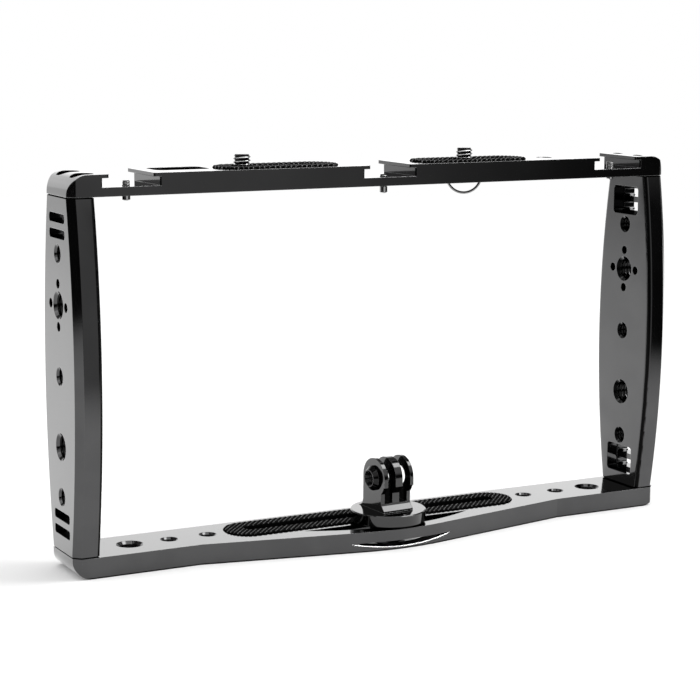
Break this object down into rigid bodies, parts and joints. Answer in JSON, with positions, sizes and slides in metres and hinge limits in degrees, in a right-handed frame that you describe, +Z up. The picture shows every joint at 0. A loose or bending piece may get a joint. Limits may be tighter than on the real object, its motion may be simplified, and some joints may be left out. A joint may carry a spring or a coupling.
{
  "type": "dual handle camera tray",
  "caption": "Rectangular metal camera tray with two bowed handles, shoe channels, ribbed pads with sliding camera screws and a three-ear mount.",
  "frame": {"origin": "middle of the frame in plan, on the underside of the bottom bar", "axes": "+X from the left handle to the right handle as the picture sees them, +Y from the front to the rear, +Z up"},
  "size_m": [0.25, 0.044, 0.1467],
  "materials": {
    "black_metal": "black anodised aluminium, smooth and semi-gloss",
    "black_screw": "black oxide steel",
    "pad_rubber": "matte black rubber with diagonal ribs",
    "bright_steel": "bright stainless steel"
  },
  "bodies": {
    "frame": {"top_bar": "black_metal", "bottom_bar": "black_metal", "left_handle": "black_metal", "right_handle": "black_metal", "left_camera_pad": "pad_rubber", "right_camera_pad": "pad_rubber", "tray_pad": "pad_rubber", "top_bar_screws": "black_screw", "bottom_bar_screws": "black_screw"},
    "left_lock_screw": {"left_lock_screw": "bright_steel"},
    "centre_lock_screw": {"centre_lock_screw": "bright_steel"},
    "right_lock_screw": {"right_lock_screw": "bright_steel"},
    "left_washer": {"left_screw_washer": "bright_steel"},
    "left_camera_screw": {"left_camera_screw": "bright_steel"},
    "left_ring": {"left_screw_ring": "bright_steel"},
    "right_washer": {"right_screw_washer": "bright_steel"},
    "right_camera_screw": {"right_camera_screw": "bright_steel"},
    "right_ring": {"right_screw_ring": "bright_steel"},
    "mount": {"mount_body": "black_metal", "mount_nut": "black_screw"},
    "mount_screw": {"mount_screw": "bright_steel"}
  },
  "joints": [
    {"name": "left_lock_travel", "type": "slide", "parent": "frame", "child": "left_lock_screw", "axis": [0, 0, 1], "range_m": [-0.0018, 0.0013]},
    {"name": "centre_lock_travel", "type": "slide", "parent": "frame", "child": "centre_lock_screw", "axis": [0, 0, 1], "range_m": [-0.0008, 0.0023]},
    {"name": "right_lock_travel", "type": "slide", "parent": "frame", "child": "right_lock_screw", "axis": [0, 0, 1], "range_m": [-0.0026, 0.0005]},
    {"name": "left_screw_slide", "type": "slide", "parent": "frame", "child": "left_washer", "axis": [1, 0, 0], "range_m": [-0.0009, 0.0271]},
    {"name": "left_screw_turn", "type": "hinge", "parent": "left_washer", "child": "left_camera_screw", "pos_m": [-0.0545, 0, 0.1383], "axis": [0, 0, 1], "continuous": true},
    {"name": "right_screw_slide", "type": "slide", "parent": "frame", "child": "right_washer", "axis": [1, 0, 0], "range_m": [-0.0116, 0.0164]},
    {"name": "right_screw_turn", "type": "hinge", "parent": "right_washer", "child": "right_camera_screw", "pos_m": [0.039, 0, 0.1383], "axis": [0, 0, 1], "continuous": true},
    {"name": "left_ring_fold", "type": "hinge", "parent": "left_camera_screw", "child": "left_ring", "pos_m": [-0.0545, 0, 0.13605], "axis": [1, 0, 0], "range_deg": [0, 180]},
    {"name": "right_ring_fold", "type": "hinge", "parent": "right_camera_screw", "child": "right_ring", "pos_m": [0.039, 0, 0.13605], "axis": [0.8829, -0.4695, 0], "range_deg": [-90, 90]},
    {"name": "mount_swivel", "type": "hinge", "parent": "frame", "child": "mount", "pos_m": [0, -0.0125, 0.01042], "axis": [0, 0, 1], "continuous": true},
    {"name": "mount_screw_turn", "type": "hinge", "parent": "frame", "child": "mount_screw", "pos_m": [0, -0.0125, 0.0034], "axis": [0, 0, 1], "continuous": true}
  ]
}
